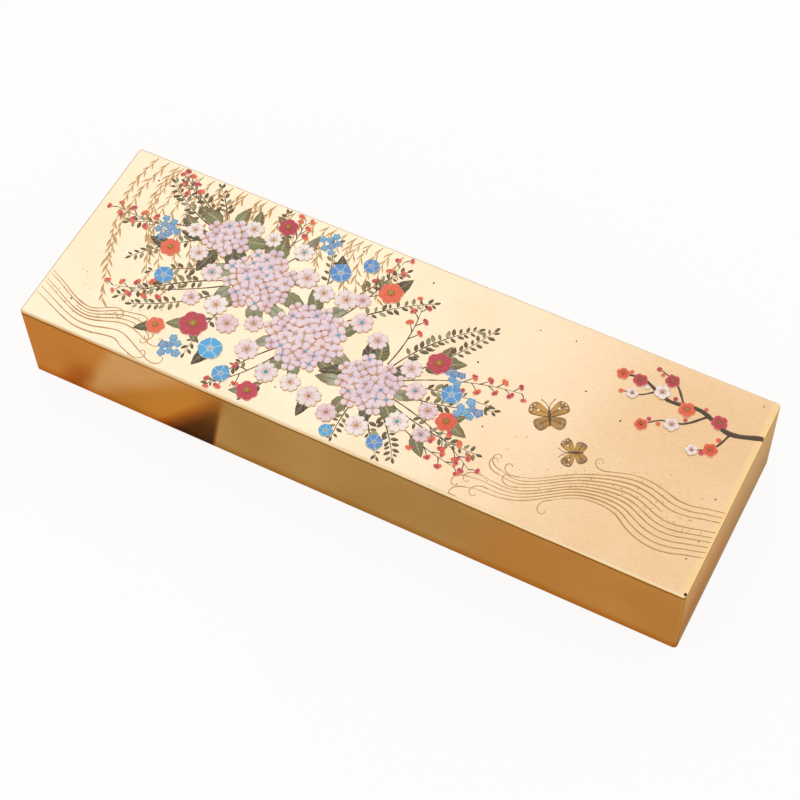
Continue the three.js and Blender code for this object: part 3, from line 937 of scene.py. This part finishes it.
def stream():
    """A flowing stream in fine gold lines, which start and end at different places."""
    middle = smooth_path(STREAM, STREAM_STEPS)
    drawn = []
    for off, first, last in STREAM_RUNS:
        points = []
        for i in range(first, last + 1):
            ahead = middle[min(i + 1, len(middle) - 1)] - middle[max(i - 1, 0)]
            side = Vector((-ahead.y, ahead.x)).normalized()
            if i in (0, len(middle) - 1):
                side = Vector((0, -1))
            swell = 1 + 0.35 * sin(max(i, 2) * 0.35)
            point = middle[i] + side * -off * swell * 0.8
            point.y = max(point.y, -STREAM_EDGE)
            points.append(point)
        drawn.append(stroke(points, 0.52, (0.6, 1.0, 0.4)))
        # A curl where the line ends in the open
        end, before = points[:-3:-1] if last < STREAM_OPEN else points[:2]
        way = end - before
        turn = atan2(way.y, way.x)
        curl = [end]
        for k in range(9):
            curl.append(curl[-1] + toward(turn) * (1.6 - 0.12 * k))
            turn += (1 if off < 0 else -1) * (0.25 + 0.09 * k)
        drawn.append(stroke(curl, 0.4, (1.0, 0.8, 0.6)))
    strokes("stream_lines", drawn, "line")


def willow():
    """Willow fronds in gold, long at the left and shorter to the right."""
    pick = random.Random(9)
    leaf = blade("willow_leaf", (4.4, 1.05, 0.14), slim_leaf, (6, 2), curl=0.12)
    bm = bmesh.new()
    stems = []
    for i in range(FRONDS):
        x = FIRST_FROND + i * FROND_SPACING + pick.uniform(-1.2, 1.2)
        fall = pick.uniform(0.6, 1.05) * (1.0 if i < 8 else 0.62 if i < 14 else 0.4)
        sway = pick.uniform(7, 13)
        hanging = [(0, 0), (-2.5, 14), (-1, 30), (sway * 0.45, 46), (sway * 1.2, 60)]
        points = [(x + aside * fall, FAR_EDGE - down * fall) for aside, down in hanging]
        stems.append(stroke(points, 0.36, (1.0, 0.8, 0.5)))
        path = smooth_path(points)
        count = int(30 * fall)
        for k in range(count):
            at, turn = point_on(path, 0.02 + 0.98 * k / count)
            slant = turn + (1 if k % 2 else -1) * radians(pick.uniform(12, 30))
            stamp(bm, leaf, at, slant, pick.uniform(0.7, 1.15), tone=pick.random() * 0.8, slot=0)
    strokes("willow_stems", stems, "line")
    relief_piece(bm, "willow_leaves", ["line"])


FLAKES = 230  # before those past the edge are left out


def sprinkled_gold():
    """Flakes of thicker gold, sprinkled beside both ends of the stream."""
    pick = random.Random(31)
    flake = bead("flake", 0.3, 0.09, 5)
    bm = bmesh.new()
    middle = smooth_path(STREAM, STREAM_STEPS)
    ends = middle[:19] + middle[-10:]
    for _ in range(FLAKES):
        at = pick.choice(ends) + Vector((pick.uniform(-6, 6), abs(pick.gauss(0, 8)) - 2))
        if abs(at.x) < 117.5 and abs(at.y) < STREAM_EDGE:
            turn = pick.random() * 3
            stamp(bm, flake, at, turn, pick.uniform(0.5, 1.2), tone=pick.random() * 0.8, slot=0)
    relief_piece(bm, "sprinkled_gold", ["line"])


def butterflies():
    """Butterflies with spread wings, a beaded body and two feelers."""
    pick = random.Random(2)
    fore = blade("forewing", (7.6, 6.6, 0.22), fore_wing, (14, 10), crease=0.1, edge=0.25)
    hind = blade("hindwing", (5.8, 6.4, 0.2), hind_wing, (12, 10), crease=0.1, edge=0.25)
    bm = bmesh.new()
    feelers = []
    for x, y, heading, size in BUTTERFLIES:
        turn = radians(heading)
        ahead = toward(turn) * size
        aside = toward(turn + pi / 2) * size
        middle = Vector((x, y))
        for side in (-1, 1):
            # Each wing: mesh, root, spread in degrees, lift, tone, spots, their lift and their colour
            for mesh, root, spread, lift, tone, spots, raised, colour in [
                (fore, middle + ahead * 1.2, 58, 0.1, 0.5, FORE_SPOTS, 0.2, 2),
                (hind, middle - ahead * 0.6, 116, 0.0, 0.2, HIND_SPOTS, 0.1, 3),
            ]:
                way = turn + side * radians(spread)
                stamp(bm, mesh, root, way, size, lift=lift, tone=tone, slot=0)
                for reach, slant, spot in spots:
                    at = root + toward(way + slant) * reach * size
                    stamp(bm, SMALL_BEAD, at, size=spot * size, lift=raised, tone=0.9, slot=colour)
            head = middle + ahead * 3
            knee = head + ahead * 2.4 + aside * side * 0.5
            tip = head + ahead * 4.5 + aside * side * 2.2
            feelers.append(stroke([head, knee, tip], 0.26, (1, 0.8, 0.8)))
            stamp(bm, SMALL_BEAD, tip, size=0.5 * size, lift=0.1, tone=0.5, slot=1)
        for i in range(7):
            at = middle + ahead * (i - 3) * 0.9
            thick = size * (1.5 - abs(i - 4) * 0.17)
            stamp(bm, SMALL_BEAD, at, turn, thick, lift=0.25, tone=pick.random() * 0.4, slot=1)
    strokes("butterfly_feelers", feelers, "bark")
    relief_piece(bm, "butterflies", ["wing", "bark", "white", "sky"])


# Solid helpers

def box_between(low, high):
    bm = bmesh.new()
    bmesh.ops.create_cube(bm, size=1)
    bmesh.ops.scale(bm, vec=high - low, verts=bm.verts)
    bmesh.ops.translate(bm, verts=bm.verts, vec=(low + high) / 2)
    return bm


def round_off(bm, edges, rounding, segments):
    bmesh.ops.bevel(
        bm, geom=edges, offset=rounding, segments=segments, profile=0.5, affect="EDGES", material=-1
    )


def cut_across(bm, axis, place):
    """Cuts all faces by a plane across an axis, so that the surface has points to waver at."""
    at = Vector((0, 0, 0))
    at[axis] = place
    normal = Vector((0, 0, 0))
    normal[axis] = 1
    geometry = bm.verts[:] + bm.edges[:] + bm.faces[:]
    bmesh.ops.bisect_plane(bm, geom=geometry, plane_co=at, plane_no=normal, dist=0.01 * MM)


SKIN_CELL = 6 * MM  # mesh size of the lid's skin
SKIN_THICKNESS = 0.55 * MM


def gold_skin():
    """The lid's outside: a thin hand-finished shell, open underneath."""
    bm = box_between(coat_low, coat_high)
    tall = (coat_high.z - coat_low.z) / 2
    uprights = [e for e in bm.edges if abs(e.verts[0].co.z - e.verts[1].co.z) > tall]
    round_off(bm, uprights, UPRIGHT_ROUNDING * MM, 6)
    top = [e for e in bm.edges if all(abs(v.co.z - coat_high.z) < 1e-6 for v in e.verts)]
    rim = [e for e in top if any(abs(f.normal.z) < 0.5 for f in e.link_faces)]
    round_off(bm, rim, RIM_ROUNDING * MM, 5)
    under = [f for f in bm.faces if f.normal.z < -0.5]
    bmesh.ops.delete(bm, geom=under, context="FACES")
    for axis in range(3):
        cut = coat_low[axis] + SKIN_CELL
        while cut < coat_high[axis] - 2 * MM:
            cut_across(bm, axis, cut)
            cut += SKIN_CELL
    # Hand finishing leaves it wavering by a few hundredths of a millimetre
    for v in bm.verts:
        wave = noise.noise(v.co / (22 * MM))
        v.co.z += wave * 0.03 * MM if v.co.z > coat_low.z + MM else 0
        if v.co.z < LID_TOP - 1.3 * MM:
            v.co.xy *= 1 - abs(wave) * 0.0004
    bmesh.ops.recalc_face_normals(bm, faces=bm.faces)
    bmesh.ops.solidify(bm, geom=bm.faces[:], thickness=SKIN_THICKNESS)
    skin = piece_from(bm, "gold_leaf_skin", ["gold"], "lid")
    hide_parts("lid_gold_coat")
    weighted = skin.modifiers.new("flat_faces_stay_flat", "WEIGHTED_NORMAL")
    weighted.keep_sharp = True


# Inside the tray: velvet over card, foam pads and rolls

CARD_EDGE = 0.45 * MM  # rounding of velvet folded over a card's edge
CARD_CELL = 3 * MM
CARD_LOOSE = 0.12 * MM  # how far the velvet sinks on a card's faces
CLOTH_SCALE = 10  # cloth is stuffed at ten times its size, where the solver is steady
PAD_EDGE = 1.6 * MM
PAD_CELL = 1.5 * MM
PAD_CROWN = 0.3 * MM  # room over a pad for its folds
STUFFING = 4.0  # pressure inside a pad
STUFF_FRAMES = 20
STUFF_REACH = 0.8 * MM  # no point of a pad's cover moves further than this


def boards():
    """The wooden boards keep their own shape and get their lacquer."""
    for name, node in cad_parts.items():
        if name.endswith("_board"):
            node.data.materials.clear()
            node.data.materials.append(MATERIALS["black"])


def velvet_piece(bm, node):
    """A velvet cover in place of a solid of the tray."""
    piece = piece_from(bm, f"{node}_velvet", ["velvet"], "tray")
    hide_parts(node)
    return piece


def velvet_card(node):
    """A card or divider wrapped in velvet: folded edges, and faces that are never quite flat."""
    low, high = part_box(node)
    span = high - low
    bm = box_between(low, high)
    round_off(bm, bm.edges[:], min(CARD_EDGE, min(span) * 0.35), 3)
    for axis in range(3):
        cuts = int(span[axis] / CARD_CELL)
        for i in range(1, cuts):
            cut_across(bm, axis, low[axis] + span[axis] * i / cuts)
    thin = min(range(3), key=lambda axis: span[axis])
    middle = (low[thin] + high[thin]) / 2
    for v in bm.verts:
        loose = abs(noise.noise(v.co / (9 * MM))) * CARD_LOOSE
        v.co[thin] += -loose if v.co[thin] > middle else loose
    velvet_piece(bm, node)


def stuffed(bm):
    """The mesh of a closed form, blown up as cloth; no point moves further than STUFF_REACH."""
    cover = new_object("unstuffed", template(bm, "unstuffed"))
    scene = bpy.context.scene
    remesh = cover.modifiers.new("even_cells", "REMESH")
    remesh.mode = "VOXEL"
    remesh.voxel_size = PAD_CELL * CLOTH_SCALE
    result = bpy.data.meshes.new_from_object(evaluated(cover))
    cover.modifiers.clear()
    cover.data = result.copy()
    cloth = cover.modifiers.new("stuffing", "CLOTH")
    cloth.settings.use_pressure = True
    cloth.settings.uniform_pressure_force = STUFFING
    cloth.settings.effector_weights.gravity = 0
    cloth.point_cache.frame_start = 1
    cloth.point_cache.frame_end = STUFF_FRAMES
    for i in range(1, STUFF_FRAMES + 1):
        scene.frame_set(i)
    blown = evaluated(cover).data
    for v, moved in zip(result.vertices, blown.vertices):
        step = moved.co - v.co
        reach = STUFF_REACH * CLOTH_SCALE
        v.co += step * min(1, reach / max(step.length, 1e-9))
    bpy.data.objects.remove(cover)
    scene.frame_set(1)
    return result


def pad(node):
    """A foam pad wrapped in velvet: crowned, drawn in between its corners, flat underneath."""
    low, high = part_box(node)
    span = high - low
    bm = box_between(-span / 2 * CLOTH_SCALE, span / 2 * CLOTH_SCALE)
    round_off(bm, bm.edges[:], PAD_EDGE * CLOTH_SCALE, 3)
    mesh = stuffed(bm)
    bm = bmesh.new()
    bm.from_mesh(mesh)
    for _ in range(2):
        bmesh.ops.smooth_vert(
            bm, verts=bm.verts, factor=0.5, use_axis_x=True, use_axis_y=True, use_axis_z=True
        )
    # Fitted to its solid's box, with what lies under the cut pressed flat
    reach = Vector([max(abs(v.co[axis]) for v in bm.verts) for axis in range(3)])
    cut = -0.45 * reach.z
    for v in bm.verts:
        fold = noise.noise(Vector((v.co.x, v.co.y, 0)) / (14 * MM * CLOTH_SCALE)) * 0.25 * MM
        up = (v.co.z - cut) / (reach.z - cut)
        x = (low.x + high.x + v.co.x / reach.x * span.x) / 2
        y = (low.y + high.y + v.co.y / reach.y * span.y) / 2
        v.co = (x, y, low.z + max(0.0, up) * (span.z - PAD_CROWN) + (fold if up > 0.6 else 0))
    bmesh.ops.recalc_face_normals(bm, faces=bm.faces)
    piece = velvet_piece(bm, node)
    rounder = piece.modifiers.new("rounder", "SUBSURF")
    rounder.levels = 1
    rounder.render_levels = 1


def ring_roll(node, pick):
    """A foam roll wrapped in velvet, gathered at its ends and flat where it is glued down."""
    low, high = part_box(node)
    span = high - low
    middle = (low + high) / 2
    offset = Vector((pick.uniform(0, 1), pick.uniform(0, 1), pick.uniform(0, 1)))
    bm = bmesh.new()
    bmesh.ops.create_uvsphere(bm, u_segments=36, v_segments=30, radius=1)
    bmesh.ops.rotate(bm, verts=bm.verts, cent=(0, 0, 0), matrix=Matrix.Rotation(pi / 2, 3, "X"))
    # The ball becomes a rounded bar, with eleven pleats that deepen towards its ends
    for v in bm.verts:
        around = atan2(v.co.z, v.co.x)
        pleat = 1 + 0.035 * sin(11 * around) * abs(v.co.y) ** 4
        wave = 1 - 0.03 * abs(noise.noise(v.co * 3 + offset * 9))
        swell = hypot(v.co.x, v.co.z) ** 0.35 * pleat * wave
        x = copysign(abs(cos(around)) ** 0.8, cos(around)) * swell
        z = copysign(abs(sin(around)) ** 0.8, sin(around)) * swell
        y = copysign(abs(v.co.y) ** 0.4, v.co.y)
        v.co = (
            middle.x + x * span.x * 0.485,
            middle.y + y * span.y * 0.495,
            max(low.z, middle.z - 0.6 * MM + z * (span.z / 2 + 0.4 * MM)),
        )
    bmesh.ops.remove_doubles(bm, verts=bm.verts, dist=0.01 * MM)
    bmesh.ops.recalc_face_normals(bm, faces=bm.faces)
    piece = velvet_piece(bm, node)


def velvet_inside():
    pick = random.Random(12)
    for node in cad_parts:
        if node.startswith(("lining_", "divider_")) or node == "ring_card":
            velvet_card(node)
        elif node.startswith("ring_roll_"):
            ring_roll(node, pick)
        elif node.endswith("_pad"):
            pad(node)


# Studio: a pale floor, soft light from behind on the left, and a white surround

FLOOR_WHITE = 0.9  # how much of the floor's look is plain white; the rest keeps the shadow


def area_light(name, place, aim, size, power, colour):
    data = bpy.data.lights.new(name, "AREA")
    data.shape = "RECTANGLE"
    data.size, data.size_y = size
    data.energy = power
    data.color = linear(colour)[:3]
    lamp = new_object(name, data)
    lamp.location = place
    lamp.rotation_euler = (Vector(aim) - Vector(place)).to_track_quat("-Z", "Y").to_euler()


def plane(name, half_size, place, material):
    bm = bmesh.new()
    bmesh.ops.create_grid(bm, x_segments=1, y_segments=1, size=half_size)
    made = new_object(name, template(bm, name))
    made.location = place
    made.data.materials.append(material)
    return made


def card(name, half_size, place, material):
    """A glowing plane that only the gloss of the box sees."""
    made = plane(name, half_size, place, material)
    made.visible_camera = False
    made.visible_shadow = False
    made.visible_diffuse = False


def surround():
    world = bpy.data.worlds.new("studio_surround")
    bpy.context.scene.world = world
    world.use_nodes = True
    world.node_tree.nodes.clear()
    add = partial(add_node, world.node_tree)
    rays = add("LightPath", out=None).outputs
    seen = add("Math", {0: rays["Is Camera Ray"], 1: rays["Is Glossy Ray"]}, operation="MAXIMUM")
    lit = add("Background", {"Color": "#fffaf2", "Strength": 0.9})
    white = add("Background", {"Color": "#ffffff", "Strength": 1.0})
    both = add("MixShader", {0: seen, 1: lit, 2: white})
    add("OutputWorld", {"Surface": both}, None)


def floor():
    material, add, shader, _ = new_material("pale_studio_floor", Roughness=0.7, Base_Color="#f8f6f3")
    rays = add("LightPath", out=None).outputs
    seen = add("Math", {0: rays["Is Camera Ray"], 1: rays["Is Glossy Ray"]}, operation="MAXIMUM")
    share = add("Math", {0: seen, 1: FLOOR_WHITE}, operation="MULTIPLY")
    white = add("Emission", {"Color": "#ffffff", "Strength": 1.0})
    both = add("MixShader", {0: share, 1: shader.outputs[0], 2: white})
    surface = next(n for n in material.node_tree.nodes if n.type == "OUTPUT_MATERIAL")
    feed(surface, {"Surface": both})
    plane("floor", 3, (0, 0, -0.1 * MM), material)


# Painted reflections for the polished walls: a glowing card just under the box that only their gloss sees.
# Its colours give the near wall a pale patch and a dark one, and a glow past the right end. Places are
# millimetres from the middle of the box, across and away from the camera

CARD_REACH = 140  # the colours run this far to both sides
FRONT_COLOURS = [
    (-95.2, "#e3c197"), (-84, "#dbbe7f"), (-64.4, "#dbbe7f"), (-57.4, "#d0b78c"), (-51.8, "#c9cec7"),
    (33.6, "#c9cec7"), (56, "#d9c7a7"), (118.72, "#d9c7a7"), (120.4, "#c0ab87"), (124.32, "#f0d8ac"),
]
REAR_COLOURS = [(103.6, "#d8c6a4"), (116.2, "#b98f58")]
PALE = "#f2f1fd"
DARK = [(0.0, "#ffffff"), (0.15, "#efd3b1"), (0.5, "#ad896c"), (0.85, "#705345"), (1.0, "#50332f")]
DULL = "#f2dbc2"
COOL_CORNER = "#d9d2c0"
DARK_SPOT = Vector((-105, -41.5, 0)) * MM

# A patch is bounded by edges. Each edge has its direction, across and away, how far that way the patch
# begins and where it is full, and what is left of it before it begins. The corner's near edge is sharp
PATCHES = {
    "pale": [((1, 1.61), -156, -168, 0), ((1, 0), -103.5, -98.5, 0)],
    "dark": [((1, 0.8), -104.2, -94.2, 0), ((1, -0.38), -33.6, -35.2, 0), ((0, 1), -64, -44, 0)],
    "rear": [((0, 1), -20, 20, 0), ((1, 0), 120.5, 119.5, 0)],
    "dull": [((1, 0), 119.5, 120.5, 0), ((0, 1), 35, -20, 0), ((1, 0), 123.8, 121.5, 0.3)],
    "corner": [((1, 0), 119.5, 120.5, 0), ((0, 1), -38.599, -38.601, 0)],
}


def painted_wall_reflections():
    material, add, shader, place = new_material(
        "painted_wall_reflections", Roughness=1.0, Base_Color="#000000", Emission_Strength=1.25
    )
    masks = {}
    for name, edges in PATCHES.items():
        mask = 1.0
        for (across, away), begins, full, least in edges:
            along = add("VectorMath", {0: place, 1: (across, away, 0)}, "Value", operation="DOT_PRODUCT")
            edge = add("MapRange", {0: along, 1: begins * MM, 2: full * MM, 3: least})
            mask = add("Math", {0: mask, 1: edge}, operation="MULTIPLY")
        masks[name] = mask
    across = add("SeparateXYZ", {0: place})
    share = add("MapRange", {0: across, 1: -CARD_REACH * MM, 2: CARD_REACH * MM})
    ramps = []
    for colours in (FRONT_COLOURS, REAR_COLOURS):
        stops = [((x + CARD_REACH) / CARD_REACH / 2, code) for x, code in colours]
        ramps.append(add("ValToRGB", {0: share}, stops=stops))
    front, rear = ramps
    # A painted dark reflection: a patch along the near wall and a small spot at its left
    away = add("VectorMath", {0: place, 1: DARK_SPOT}, "Value", operation="DISTANCE")
    small = add("MapRange", {0: away, 1: 1 * MM, 2: 8 * MM, 3: 0.3, 4: 0.0})
    dark = add("Math", {0: masks["dark"], 1: small}, operation="MAXIMUM")
    shade = add("ValToRGB", {0: dark}, stops=DARK)
    seen = front
    for mask, colour, blend in [
        (masks["pale"], PALE, "MIX"),
        (1.0, shade, "MULTIPLY"),
        (masks["rear"], rear, "MIX"),
        (masks["dull"], DULL, "MULTIPLY"),
        (masks["corner"], COOL_CORNER, "MIX"),
    ]:
        seen = add("Mix", {0: mask, A: seen, B: colour}, MIXED, data_type="RGBA", blend_type=blend)
    feed(shader, {"Emission Color": seen})
    card("painted_wall_reflections", 0.6, (0, 0, -0.05 * MM), material)


def studio():
    surround()
    place = (-0.75, 0.67, 1.1)
    area_light("key_softbox", place, aim=(0, 0, 0.03), size=(1.2, 1.0), power=1.22, colour="#fff6ea")
    # A peach-toned card overhead on the right
    glow, _, _, _ = new_material(
        "warm_card", Roughness=1.0, Base_Color="#000000", Emission_Color="#fbe3c7", Emission_Strength=1.02
    )
    card("warm_card", 0.5, (0.42, 0.35, 0.55), glow)
    painted_wall_reflections()
    floor()


make_camera()
boards()
velvet_inside()
gold_skin()
leaves()
sprigs()
berries()
forget_me_nots()
hydrangeas()
cherry_blossoms()
camellias()
morning_glories()
plum_branch()
plum_blossoms()
stream()
willow()
sprinkled_gold()
butterflies()
studio()

settings = bpy.context.scene.view_settings
settings.view_transform = "Standard"
